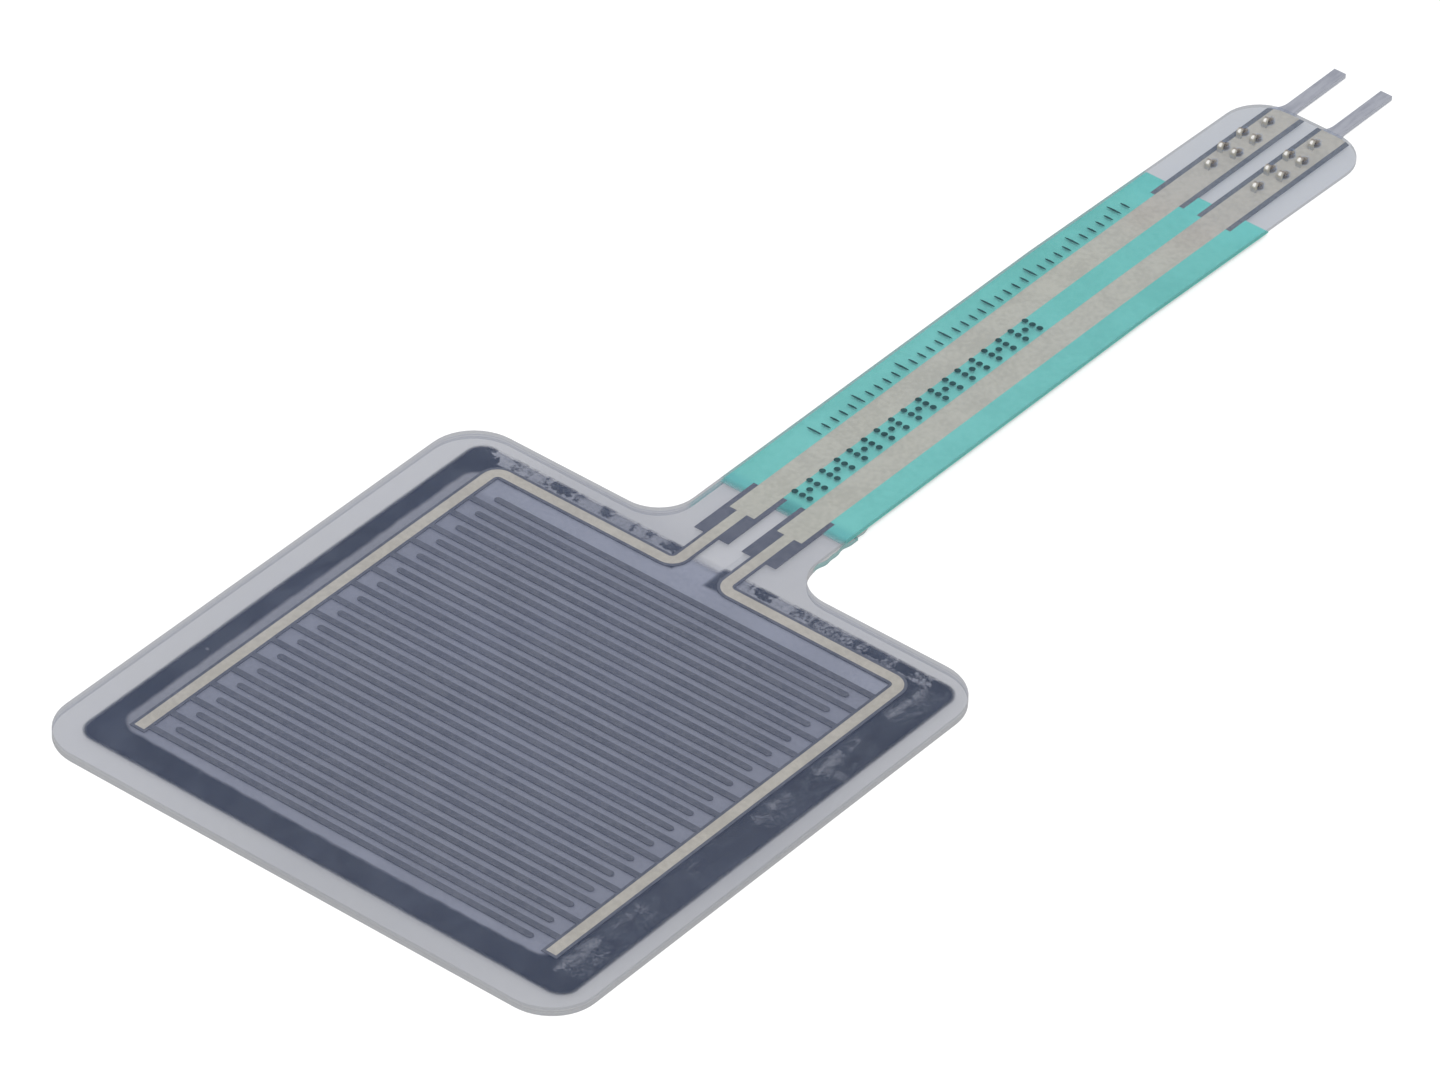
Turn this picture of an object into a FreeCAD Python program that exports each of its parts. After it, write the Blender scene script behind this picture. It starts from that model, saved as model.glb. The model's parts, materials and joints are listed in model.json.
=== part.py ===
# Force sensing resistor: a square head with a flex tail and two solder pins.
#
# Two clear films are held apart by an adhesive frame. Two carbon combs are printed on
# the underside of the upper film, and a square of resistive ink lies on the lower one.
# Pressing the head brings the ink against the combs and joins them.
#
# Frame: origin at the centre of the head on its underside, +Z up, +Y along the tail.
# Everything is in millimetres.

import FreeCAD, Part
import math
import os
import re

import Sketcher
from FreeCAD import Vector

doc = FreeCAD.newDocument("force_sensing_resistor")
sheet = doc.addObject("Spreadsheet::Sheet", "sizes")

# Driving dimensions: alias, value, what it is.
DRIVING = [
    ("head_width", 28.0, "side of the square head"),
    ("head_corner_radius", 2.3, "rounding of the head's corners"),
    ("neck_fillet_radius", 1.9, "inside rounding where the tail leaves the head"),
    ("tail_width", 6.65, "width of the tail"),
    ("tail_length", 40.95, "head edge to the end of the upper film"),
    ("tail_corner_radius", 2.0, "rounding of the tail's end corners"),
    ("lean_start", 25.0, "head edge to where the tail starts to lean to the right"),
    ("film_lean", 0.36, "how far the film's sides have moved by the tail's end"),
    ("print_lean", 0.16, "how far the silver and its carbon have moved there"),
    ("upper_film_thickness", 0.18, "film that carries the prints"),
    ("lower_film_thickness", 0.18, "film that carries the resistive ink"),
    ("lower_film_stub", 4.65, "how far the lower film runs on under the tail"),
    ("spacer_thickness", 0.10, "adhesive between the films"),
    ("spacer_stub", 5.35, "how far the adhesive runs on under the tail"),
    ("window_rim", 2.5, "head edge to the window in the adhesive"),
    ("window_corner_radius", 0.7, "rounding of the window's corners"),
    ("window_drift_left", 0.3, "the window's misalignment to the left"),
    ("window_drift_up", 0.35, "the window's misalignment towards the tail"),
    ("vent_width", 1.72, "air channel from the window up the neck"),
    ("ink_rim", 1.15, "head edge to the resistive square"),
    ("ink_corner_radius", 0.95, "rounding of the resistive square"),
    ("ink_drift_right", 0.08, "the square's misalignment to the right"),
    ("ink_drift_up", 0.46, "the square's misalignment towards the tail"),
    ("ink_thickness", 0.02, "resistive ink"),
    ("silver_thickness", 0.015, "silver print"),
    ("carbon_thickness", 0.015, "carbon print, over the silver"),
    ("dielectric_thickness", 0.015, "insulating print, over the carbon"),
    ("lead_pitch", 2.54, "centre distance of the two leads and pins"),
    ("narrow_trace_width", 0.52, "silver round the head and up the neck"),
    ("wide_trace_width", 1.32, "silver along the tail"),
    ("wide_trace_start", 2.65, "head edge to where the silver widens"),
    ("side_bus_inset", 3.11, "head edge to the centre of a side bus"),
    ("top_bus_inset", 1.89, "head edge to the centre of the upper bus"),
    ("bus_overrun", 0.16, "how far a bus runs past its lowest finger"),
    ("bend_radius", 0.8, "outer rounding of the silver's bends"),
    ("inner_bend_radius", 0.25, "inner rounding of the silver's bends"),
    ("carbon_border", 0.14, "carbon showing beside the narrow silver"),
    ("patch_width", 1.82, "carbon patch and pad round each lead"),
    ("patch_start", 0.6, "head edge to the carbon patch"),
    ("patch_end", 4.59, "head edge to the far end of the carbon patch"),
    ("pad_carbon_length", 8.75, "carbon behind each trace at the tail's end"),
    ("comb_inset", 3.0, "head edge to the strip that the fingers fill"),
    ("finger_pitch", 0.636, "centre distance of neighbouring fingers"),
    ("finger_width", 0.31, "width of a finger"),
    ("finger_end_gap", 0.79, "free end of a finger to the other comb's border"),
    ("comb_drift_up", 0.11, "the fingers' misalignment towards the tail"),
    ("dielectric_start", 3.75, "head edge to the insulating print"),
    ("dielectric_end_setback", 7.65, "insulating print to the tail's end"),
    ("plate_width", 1.5, "terminal plate under the film"),
    ("plate_length", 6.4, "terminal plate, from the tail's end inwards"),
    ("terminal_thickness", 0.22, "sheet metal of the terminals"),
    ("shoulder_radius", 0.95, "arc that widens the pin to the plate"),
    ("shoulder_reach", 0.65, "tail's end to where the arc has run out into the pin"),
    ("pin_width", 0.62, "solder pin"),
    ("pin_length", 4.15, "solder pin past the tail's end"),
    ("tooth_width", 0.25, "crimp tooth"),
    ("tooth_thickness", 0.11, "metal of a tooth, thinned by the curl"),
    ("tooth_radius", 0.19, "outer radius of a tooth's curl"),
    ("tooth_rise", 0.05, "centre of the curl above the film"),
    ("tooth_row_pitch", 1.4, "distance between the rows of teeth"),
    ("tooth_pair_spacing", 0.72, "distance between the teeth of a pair"),
    ("tooth_row_setback", 1.37, "tail's end to the first row of teeth"),
    ("tooth_window_length", 0.7, "slot left in the plate by each tooth"),
]

for row, (alias, number, meaning) in enumerate(DRIVING, start=1):
    sheet.set(f"A{row}", meaning)
    sheet.set(f"B{row}", str(number))
    sheet.setAlias(f"B{row}", alias)
doc.recompute()

# Places and levels that several pieces share, written with the aliases above.
HEAD_EDGE = "head_width / 2"
TAIL_END = "(head_width / 2 + tail_length)"
LEAN_START = "(head_width / 2 + lean_start)"
UNDERSIDE = "(lower_film_thickness + spacer_thickness)"
TOP = "(lower_film_thickness + spacer_thickness + upper_film_thickness)"
CARBON_DEPTH = "(silver_thickness + carbon_thickness)"
DIELECTRIC_DEPTH = "(silver_thickness + carbon_thickness + dielectric_thickness)"
PLATE_TOP = f"({UNDERSIDE} - {CARBON_DEPTH})"
PLATE_UNDERSIDE = f"({PLATE_TOP} - terminal_thickness)"
SIDE_BUS = "(head_width / 2 - side_bus_inset)"
TOP_BUS = "(head_width / 2 - top_bus_inset)"
LEAD = "(lead_pitch / 2)"
SHOULDER_END = f"({TAIL_END} + shoulder_reach)"
SHOULDER_DROP = "sqrt(shoulder_radius ^ 2 - (shoulder_radius + pin_width / 2 - plate_width / 2) ^ 2)"
SHOULDER_START = f"({SHOULDER_END} - {SHOULDER_DROP})"
FINGERS = "floor((head_width - 2 * comb_inset) / (2 * finger_pitch))"
OUTERMOST_FINGER = f"(({FINGERS} - 0.5) * finger_pitch)"
BUS_END = f"({OUTERMOST_FINGER} + finger_width / 2 + bus_overrun - comb_drift_up)"
FINGER_TIP = f"({SIDE_BUS} - narrow_trace_width / 2 - carbon_border - finger_end_gap)"

ALIASES = {alias for alias, _, _ in DRIVING}
ORIGIN_POINT = (-1, 1)
START, END, CENTRE = 1, 2, 3
SAME_PLACE = 1e-4


def bound(text):
    """The text with each alias written as a cell of the sheet."""
    return re.sub(r"[a-z_]+", lambda word: "sizes." + word[0] if word[0] in ALIASES else word[0], text)


def value(text):
    """The number that an expression gives now."""
    return float(sheet.evalExpression(bound(text)))


def mirrored(side, text):
    """An expression on the left (side -1) or right (side +1) of the centre line."""
    return f"{side} * {text}"


# Small tools for bodies, sketches and features

def flat_point(across, along):
    """A point of a sketch, from two expressions."""
    return Vector(value(across), value(along), 0)


def new_body(name):
    return doc.addObject("PartDesign::Body", name)


def origin_plane(body, role):
    for feature in body.Origin.OriginFeatures:
        if feature.Role == role:
            return feature
    raise RuntimeError(f"{body.Name} has no {role}")


def new_sketch(body, name, role, offset):
    """A sketch on one of the body's own planes, moved off it by an expression."""
    sketch = body.newObject("Sketcher::SketchObject", name)
    sketch.AttachmentSupport = [(origin_plane(body, role), "")]
    sketch.MapMode = "FlatFace"
    sketch.setExpression("AttachmentOffset.Base.z", bound(offset))
    return sketch


def dimension(sketch, name, kind, references, text):
    """A named distance or radius, tied to the sheet."""
    index = sketch.addConstraint(Sketcher.Constraint(kind, *references, value(text)))
    sketch.renameConstraint(index, name)
    sketch.setExpression(f"Constraints.{name}", bound(text))


def place_point(sketch, name, line, point, across, along):
    """Ties one point of a sketch to the origin in both directions."""
    dimension(sketch, name + "_across", "DistanceX", (*ORIGIN_POINT, line, point), across)
    dimension(sketch, name + "_along", "DistanceY", (*ORIGIN_POINT, line, point), along)


def join_ends(sketch, joints):
    for line, point, other, other_point in joints:
        sketch.addConstraint(Sketcher.Constraint("Coincident", line, point, other, other_point))


def rectangle(body, name, x_from, x_to, y_from, y_to, level):
    """A rectangle between two corners, parallel to the table."""
    sketch = new_sketch(body, name, "XY_Plane", level)
    low, high = flat_point(x_from, y_from), flat_point(x_to, y_to)
    corners = [low, Vector(high.x, low.y, 0), high, Vector(low.x, high.y, 0)]
    for index, corner in enumerate(corners):
        sketch.addGeometry(Part.LineSegment(corner, corners[(index + 1) % 4]), False)
    join_ends(sketch, [(index, END, (index + 1) % 4, START) for index in range(4)])
    for index in range(4):
        direction = "Horizontal" if index % 2 == 0 else "Vertical"
        sketch.addConstraint(Sketcher.Constraint(direction, index))
    place_point(sketch, "low_corner", 0, START, x_from, y_from)
    place_point(sketch, "high_corner", 2, START, x_to, y_to)
    return sketch


def pad(body, sketch, thickness, downwards=False, symmetric=False):
    feature = body.newObject("PartDesign::Pad", sketch.Name + "_pad")
    feature.Profile = sketch
    feature.setExpression("Length", bound(thickness))
    feature.Reversed = downwards
    if symmetric:
        feature.SideType = "Symmetric"
    body.Tip = feature
    return feature


def block(body, name, x_from, x_to, y_from, y_to, level, thickness, downwards=False):
    sketch = rectangle(body, name, x_from, x_to, y_from, y_to, level)
    return pad(body, sketch, thickness, downwards)


def leaning_strip(body, name, x_from, x_to, y_from, level, thickness, lean, downwards=False):
    """A strip that runs to the tail's end and has moved to the right by lean when it gets there."""
    rows = [(y_from, f"{lean} * ({y_from} - {LEAN_START}) / ({TAIL_END} - {LEAN_START})"), (TAIL_END, lean)]
    if value(y_from) < value(LEAN_START):
        rows = [(y_from, "0"), (LEAN_START, "0"), (TAIL_END, lean)]
    right = [(f"({x_to} + {shift})", y) for y, shift in rows]
    left = [(f"({x_from} + {shift})", y) for y, shift in reversed(rows)]
    corners = right + left
    points = [flat_point(x, y) for x, y in corners]
    sketch = new_sketch(body, name, "XY_Plane", level)
    for index, point in enumerate(points):
        sketch.addGeometry(Part.LineSegment(point, points[(index + 1) % len(points)]), False)
    join_ends(sketch, [(index, END, (index + 1) % len(points), START) for index in range(len(points))])
    for index, (x, y) in enumerate(corners):
        place_point(sketch, f"corner_{index}", index, START, x, y)
    return pad(body, sketch, thickness, downwards)


def upright_edges(shape, corners):
    """Names of the vertical edges that stand at the given corners."""
    names = []
    for index, edge in enumerate(shape.Edges, start=1):
        ends = [vertex.Point for vertex in edge.Vertexes]
        if len(ends) != 2 or (ends[0] - ends[1]).cross(Vector(0, 0, 1)).Length > SAME_PLACE:
            continue
        for x, y in corners:
            if abs(ends[0].x - x) < SAME_PLACE and abs(ends[0].y - y) < SAME_PLACE:
                names.append(f"Edge{index}")
    if len(names) != len(corners):
        raise RuntimeError(f"{len(names)} of {len(corners)} corners found")
    return names


def round_corners(body, name, corners, radius):
    """Rounds the vertical edges at the corners."""
    doc.recompute()
    places = [(value(x), value(y)) for x, y in corners]
    base = body.Tip
    feature = body.newObject("PartDesign::Fillet", name)
    feature.Base = (base, upright_edges(base.Shape, places))
    feature.setExpression("Radius", bound(radius))
    body.Tip = feature
    return feature


def repeat(body, name, originals, count, spacing, backwards=False):
    """Repeats features along +Y, or along -Y when backwards."""
    pattern = body.newObject("PartDesign::LinearPattern", name)
    pattern.Originals = originals
    pattern.Direction = (origin_plane(body, "Y_Axis"), [""])
    pattern.Reversed = backwards
    pattern.setExpression("Occurrences", bound(count))
    pattern.setExpression("Length", bound(f"({count} - 1) * {spacing}"))
    body.Tip = pattern
    return pattern


def combine(kind, name, base, tool):
    result = doc.addObject(kind, name)
    result.Base = base
    result.Tool = tool
    return result


def cut(name, base, tool):
    return combine("Part::Cut", name, base, tool)


def common(name, base, tool):
    return combine("Part::Common", name, base, tool)


def fuse(name, shapes):
    result = doc.addObject("Part::MultiFuse", name)
    result.Shapes = shapes
    return result


# Films: the head, the tail and the rounded corners between them

def film_blank(name, level, thickness, stub=None):
    """Head and tail in one sheet. The tail has its full length, or ends square on a short stub."""
    body = new_body(name)
    half_tail, tail_root = "tail_width / 2", f"({HEAD_EDGE} - neck_fillet_radius)"
    block(body, name + "_head", "-" + HEAD_EDGE, HEAD_EDGE, "-" + HEAD_EDGE, HEAD_EDGE, level, thickness)
    if stub:
        block(body, name + "_stub", "-" + half_tail, half_tail, tail_root, f"{HEAD_EDGE} + {stub}",
              level, thickness)
    else:
        leaning_strip(body, name + "_tail", "-" + half_tail, half_tail, tail_root, level, thickness,
                      "film_lean")
    head_corners = [(x, y) for x in ("-" + HEAD_EDGE, HEAD_EDGE) for y in ("-" + HEAD_EDGE, HEAD_EDGE)]
    round_corners(body, name + "_head_corners", head_corners, "head_corner_radius")
    neck_corners = [(x, HEAD_EDGE) for x in ("-" + half_tail, half_tail)]
    round_corners(body, name + "_neck", neck_corners, "neck_fillet_radius")
    if not stub:
        end_corners = [(f"{x} + film_lean", TAIL_END) for x in ("-" + half_tail, half_tail)]
        round_corners(body, name + "_tail_corners", end_corners, "tail_corner_radius")
    return body


lower_film = film_blank("lower_film", "0", "lower_film_thickness", "lower_film_stub")
upper_film_blank = film_blank("upper_film_blank", UNDERSIDE, "upper_film_thickness")

# The same outline, as deep as the prints: what the die leaves of them along the tail.
print_trim = film_blank("print_trim", f"{UNDERSIDE} - {DIELECTRIC_DEPTH}", DIELECTRIC_DEPTH)


# Resistive square on the lower film

def resistive_square():
    body = new_body("resistive_ink")
    half = "(head_width / 2 - ink_rim)"
    left, right = f"ink_drift_right - {half}", f"ink_drift_right + {half}"
    bottom, top = f"ink_drift_up - {half}", f"ink_drift_up + {half}"
    block(body, "ink_square", left, right, bottom, top, "lower_film_thickness", "ink_thickness")
    corners = [(x, y) for x in (left, right) for y in (bottom, top)]
    round_corners(body, "ink_corners", corners, "ink_corner_radius")
    return body


resistive_ink = resistive_square()


# Adhesive frame: the film's outline with the window and the vent cut out of it

def spacer_window():
    body = new_body("spacer_window")
    half = "(head_width / 2 - window_rim)"
    left, right = f"-window_drift_left - {half}", f"-window_drift_left + {half}"
    bottom, top = f"window_drift_up - {half}", f"window_drift_up + {half}"
    level, depth = "lower_film_thickness", "spacer_thickness"
    block(body, "window", left, right, bottom, top, level, depth)
    corners = [(x, y) for x in (left, right) for y in (bottom, top)]
    round_corners(body, "window_corners", corners, "window_corner_radius")
    vent_left = "-window_drift_left - vent_width / 2"
    vent_right = "-window_drift_left + vent_width / 2"
    block(body, "vent", vent_left, vent_right, "0", f"{HEAD_EDGE} + spacer_stub", level, depth)
    return body


spacer_blank = film_blank("spacer_blank", "lower_film_thickness", "spacer_thickness", "spacer_stub")
spacer_frame = cut("spacer_frame", spacer_blank, spacer_window())


# Prints on the underside of the upper film

def narrow_trace(body, prefix, side, depth, border):
    """Side bus, upper bus and lead, widened by the border on every side."""
    half = f"(narrow_trace_width / 2 + {border})"
    bus_in, bus_out = (mirrored(side, f"({SIDE_BUS} {sign} {half})") for sign in "-+")
    lead_in, lead_out = (mirrored(side, f"({LEAD} {sign} {half})") for sign in "-+")
    below, above = f"({TOP_BUS} - {half})", f"({TOP_BUS} + {half})"
    block(body, prefix + "_side_bus", bus_in, bus_out, f"-({BUS_END} + {border})", above,
          UNDERSIDE, depth, downwards=True)
    block(body, prefix + "_upper_bus", lead_in, bus_out, below, above, UNDERSIDE, depth, downwards=True)
    block(body, prefix + "_lead", lead_in, lead_out, below, f"{HEAD_EDGE} + wide_trace_start",
          UNDERSIDE, depth, downwards=True)
    round_corners(body, prefix + "_outer_bends", [(bus_out, above), (lead_in, below)],
                  f"bend_radius + {border}")
    return [(bus_in, below), (lead_out, above)]


def lead_sides(side, width):
    """The left and right side of a strip of print that is centred on one lead."""
    return f"({side} * {LEAD} - {width} / 2)", f"({side} * {LEAD} + {width} / 2)"


def tail_print(body, name, side, width, y_from, depth):
    """A strip of print on one lead that runs to the tail's end and leans with it."""
    left, right = lead_sides(side, width)
    return leaning_strip(body, name, left, right, y_from, UNDERSIDE, depth, "print_lean", downwards=True)


def silver_print(name, side):
    body = new_body(name + "_print")
    inner_corners = narrow_trace(body, name, side, "silver_thickness", "0")
    round_corners(body, name + "_inner_bends", inner_corners, "inner_bend_radius")
    tail_print(body, name + "_wide", side, "wide_trace_width", f"({HEAD_EDGE} + wide_trace_start)",
               "silver_thickness")
    return body


def finger(body, name, side):
    """The outermost finger: a strip from the bus with a round free end.

    The left comb's first finger is the lowest. The right comb's is the same strip turned
    half round about the middle of the fingers, so its first finger is the highest.
    """
    turn = -side
    sketch = new_sketch(body, name, "XY_Plane", UNDERSIDE)
    root = f"-{turn} * {SIDE_BUS}"
    tip = f"{turn} * ({FINGER_TIP} - finger_width / 2)"
    middle = f"(comb_drift_up - {turn} * {OUTERMOST_FINGER})"
    near = f"({middle} - {turn} * finger_width / 2)"
    far = f"({middle} + {turn} * finger_width / 2)"
    round_end = Part.Circle(flat_point(tip, middle), Vector(0, 0, 1), value("finger_width / 2"))
    sketch.addGeometry(Part.LineSegment(flat_point(root, near), flat_point(tip, near)), False)
    sketch.addGeometry(Part.ArcOfCircle(round_end, -turn * math.pi / 2, math.pi - turn * math.pi / 2), False)
    sketch.addGeometry(Part.LineSegment(flat_point(tip, far), flat_point(root, far)), False)
    sketch.addGeometry(Part.LineSegment(flat_point(root, far), flat_point(root, near)), False)
    join_ends(sketch, [(index, END, (index + 1) % 4, START) for index in range(4)])
    for line, direction in ((0, "Horizontal"), (2, "Horizontal"), (3, "Vertical")):
        sketch.addConstraint(Sketcher.Constraint(direction, line))
    sketch.addConstraint(Sketcher.Constraint("Vertical", 1, START, 1, CENTRE))
    place_point(sketch, "root", 0, START, root, near)
    place_point(sketch, "end", 1, CENTRE, tip, middle)
    return pad(body, sketch, CARBON_DEPTH, downwards=True)


def comb_print(name, side):
    body = new_body(name + "_print")
    narrow_trace(body, name, side, CARBON_DEPTH, "carbon_border")
    left, right = lead_sides(side, "patch_width")
    block(body, name + "_patch", left, right, f"{HEAD_EDGE} + patch_start", f"{HEAD_EDGE} + patch_end",
          UNDERSIDE, CARBON_DEPTH, downwards=True)
    first = finger(body, name + "_finger", side)
    repeat(body, name + "_fingers", [first], FINGERS, "2 * finger_pitch", backwards=side > 0)
    return body


def pad_print(name, side):
    body = new_body(name + "_print")
    tail_print(body, name + "_strip", side, "patch_width", f"({TAIL_END} - pad_carbon_length)", CARBON_DEPTH)
    return body


# Terminals: sheet metal with teeth that pierce the film and curl over it

def tooth_profile(body, name, x, y):
    """Side view of a tooth: a leg up from the plate, a half circle, a tip on the film."""
    inner = "(tooth_radius - tooth_thickness)"
    arch = f"({TOP} + tooth_rise)"
    heel, back = f"({y} - tooth_radius)", f"({y} - {inner})"
    front, toe = f"({y} + {inner})", f"({y} + tooth_radius)"
    outer_curl = Part.Circle(flat_point(y, arch), Vector(0, 0, 1), value("tooth_radius"))
    inner_curl = Part.Circle(flat_point(y, arch), Vector(0, 0, 1), value(inner))
    outline = [
        Part.LineSegment(flat_point(heel, PLATE_UNDERSIDE), flat_point(heel, arch)),
        Part.ArcOfCircle(outer_curl, 0, math.pi),
        Part.LineSegment(flat_point(toe, arch), flat_point(toe, TOP)),
        Part.LineSegment(flat_point(toe, TOP), flat_point(front, TOP)),
        Part.LineSegment(flat_point(front, TOP), flat_point(front, arch)),
        Part.ArcOfCircle(inner_curl, 0, math.pi),
        Part.LineSegment(flat_point(back, arch), flat_point(back, PLATE_UNDERSIDE)),
        Part.LineSegment(flat_point(back, PLATE_UNDERSIDE), flat_point(heel, PLATE_UNDERSIDE)),
    ]
    sketch = new_sketch(body, name, "YZ_Plane", x)
    for edge in outline:
        sketch.addGeometry(edge, False)
    join_ends(sketch, [(0, END, 1, END), (1, START, 2, START), (2, END, 3, START), (3, END, 4, START),
                       (4, END, 5, START), (5, END, 6, START), (6, END, 7, START), (7, END, 0, START),
                       (1, CENTRE, 5, CENTRE)])
    for upright in (0, 2, 4, 6):
        sketch.addConstraint(Sketcher.Constraint("Vertical", upright))
    for level in (3, 7):
        sketch.addConstraint(Sketcher.Constraint("Horizontal", level))
    for curl in (1, 5):
        for point in (START, END):
            sketch.addConstraint(Sketcher.Constraint("Horizontal", curl, point, curl, CENTRE))
    place_point(sketch, "curl", 1, CENTRE, y, arch)
    dimension(sketch, "outer_curl", "Radius", (1,), "tooth_radius")
    dimension(sketch, "inner_curl", "Radius", (5,), inner)
    dimension(sketch, "toe_level", "DistanceY", (*ORIGIN_POINT, 3, START), TOP)
    dimension(sketch, "leg_level", "DistanceY", (*ORIGIN_POINT, 7, START), PLATE_UNDERSIDE)
    return sketch


def tooth_window(body, name, x, y):
    """The slot that a tooth leaves in the plate it was cut from."""
    start = f"({y} - tooth_radius + tooth_thickness)"
    sketch = rectangle(body, name, f"{x} - tooth_width / 2", f"{x} + tooth_width / 2", start,
                       f"{start} + tooth_window_length", PLATE_UNDERSIDE)
    before = body.Tip
    feature = body.newObject("PartDesign::Pocket", name + "_pocket")
    feature.Profile = sketch
    feature.setExpression("Length", bound("terminal_thickness"))
    feature.Reversed = True
    body.Tip = feature
    doc.recompute()
    if feature.Shape.Volume >= before.Shape.Volume:
        raise RuntimeError(f"{name} cuts nothing")
    return feature


def teeth(body, name, x, y, spacing):
    """Two teeth in line along the terminal, each with its slot."""
    window = tooth_window(body, name + "_window", x, y)
    tooth = pad(body, tooth_profile(body, name, x, y), "tooth_width", symmetric=True)
    repeat(body, name + "s", [window, tooth], "2", spacing)


def shoulders(body, name):
    """The flare from plate to pin: two arcs that start on the plate's sides and end along the pin's."""
    half_plate, half_pin = "plate_width / 2", "pin_width / 2"
    arc_centre = f"({half_pin} + shoulder_radius)"
    sweep = math.acos(value(f"({arc_centre} - {half_plate}) / shoulder_radius"))
    right_arc, left_arc = (Part.Circle(flat_point(x, SHOULDER_END), Vector(0, 0, 1), value("shoulder_radius"))
                           for x in (arc_centre, "-" + arc_centre))
    right_foot, left_foot = (flat_point(x, SHOULDER_START) for x in (half_plate, "-" + half_plate))
    right_top, left_top = (flat_point(x, SHOULDER_END) for x in (half_pin, "-" + half_pin))
    sketch = new_sketch(body, name, "XY_Plane", PLATE_UNDERSIDE)
    sketch.addGeometry(Part.LineSegment(left_foot, right_foot), False)
    sketch.addGeometry(Part.ArcOfCircle(right_arc, math.pi, math.pi + sweep), False)
    sketch.addGeometry(Part.LineSegment(right_top, left_top), False)
    sketch.addGeometry(Part.ArcOfCircle(left_arc, -sweep, 0), False)
    join_ends(sketch, [(0, END, 1, END), (1, START, 2, START), (2, END, 3, END), (3, START, 0, START)])
    for level in (0, 2):
        sketch.addConstraint(Sketcher.Constraint("Horizontal", level))
    place_point(sketch, "right_arc", 1, CENTRE, arc_centre, SHOULDER_END)
    place_point(sketch, "left_arc", 3, CENTRE, "-" + arc_centre, SHOULDER_END)
    place_point(sketch, "right_top", 2, START, half_pin, SHOULDER_END)
    dimension(sketch, "left_top", "DistanceX", (*ORIGIN_POINT, 2, END), "-" + half_pin)
    dimension(sketch, "right_foot", "DistanceX", (*ORIGIN_POINT, 0, END), half_plate)
    return pad(body, sketch, "terminal_thickness")


def terminal(name, side):
    """Plate, pin and teeth, drawn about the pin's own centre line and moved to its lead."""
    body = new_body(name)
    body.setExpression("Placement.Base.x", bound(mirrored(side, LEAD)))
    half_plate, half_pin = "plate_width / 2", "pin_width / 2"
    block(body, name + "_plate", "-" + half_plate, half_plate, f"{TAIL_END} - plate_length", SHOULDER_START,
          PLATE_UNDERSIDE, "terminal_thickness")
    shoulders(body, name + "_shoulders")
    block(body, name + "_pin", "-" + half_pin, half_pin, f"{TAIL_END} - plate_length / 2",
          f"{TAIL_END} + pin_length", PLATE_UNDERSIDE, "terminal_thickness")
    last_row = f"({TAIL_END} - tooth_row_setback)"
    first_row = f"({last_row} - 3 * tooth_row_pitch)"
    second_row = f"({last_row} - 2 * tooth_row_pitch)"
    teeth(body, name + "_end_tooth", "0", first_row, "3 * tooth_row_pitch")
    teeth(body, name + "_left_tooth", "-tooth_pair_spacing / 2", second_row, "tooth_row_pitch")
    teeth(body, name + "_right_tooth", "tooth_pair_spacing / 2", second_row, "tooth_row_pitch")
    return body


terminals, silver_traces, carbon_combs, pad_carbons = {}, {}, {}, {}
for hand, side in (("left", -1), ("right", 1)):
    terminals[hand] = terminal(f"{hand}_terminal", side)
    silver = silver_print(f"{hand}_silver", side)
    trimmed_silver = common(f"{hand}_silver_trimmed", silver, print_trim)
    silver_traces[hand] = cut(f"{hand}_silver_trace", trimmed_silver, terminals[hand])
    carbon_combs[hand] = cut(f"{hand}_carbon_comb", comb_print(f"{hand}_comb", side), silver_traces[hand])
    trimmed_pad = common(f"{hand}_pad_trimmed", pad_print(f"{hand}_pad", side), print_trim)
    through_pad = fuse(f"{hand}_through_pad", [silver_traces[hand], terminals[hand]])
    pad_carbons[hand] = cut(f"{hand}_pad_carbon", trimmed_pad, through_pad)

# Insulating print across the whole tail, behind the silver and the carbon. The sheet is drawn too wide,
# and the die trims it to the tail.
dielectric_sheet = new_body("dielectric_sheet")
block(dielectric_sheet, "dielectric", "-tail_width / 2 - film_lean", "tail_width / 2 + film_lean",
      f"{HEAD_EDGE} + dielectric_start", f"{TAIL_END} - dielectric_end_setback",
      UNDERSIDE, DIELECTRIC_DEPTH, downwards=True)
trimmed_dielectric = common("trimmed_dielectric", dielectric_sheet, print_trim)
conductors = fuse("conductors", [*silver_traces.values(), *carbon_combs.values(), *pad_carbons.values()])
dielectric_print = cut("dielectric_print", trimmed_dielectric, conductors)

# The adhesive fills in round the prints, and the teeth pierce the film.
prints = fuse("prints", [conductors, dielectric_print, resistive_ink])
spacer_adhesive = cut("spacer_adhesive", spacer_frame, prints)
both_terminals = fuse("both_terminals", list(terminals.values()))
upper_film = cut("upper_film", upper_film_blank, both_terminals)

pieces = [
    lower_film,
    resistive_ink,
    spacer_adhesive,
    *silver_traces.values(),
    *carbon_combs.values(),
    *pad_carbons.values(),
    dielectric_print,
    upper_film,
    *terminals.values(),
]

doc.recompute()
for thing in doc.Objects:
    if "Invalid" in thing.State or "Error" in thing.State:
        raise RuntimeError(f"{thing.Label} failed: {thing.State}")

os.makedirs("parts", exist_ok=True)
for piece in pieces:
    shape = piece.Shape
    if shape.isNull() or not shape.isValid():
        raise RuntimeError(f"{piece.Label} has no valid shape")
    shape.exportStep(f"parts/{piece.Label}.step")
    box = shape.BoundBox
    print(f"{piece.Label}: {len(shape.Solids)} solid, {shape.Volume:.4f} mm3, "
          f"{box.XLength:.2f} x {box.YLength:.2f} x {box.ZLength:.3f} mm")
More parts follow.
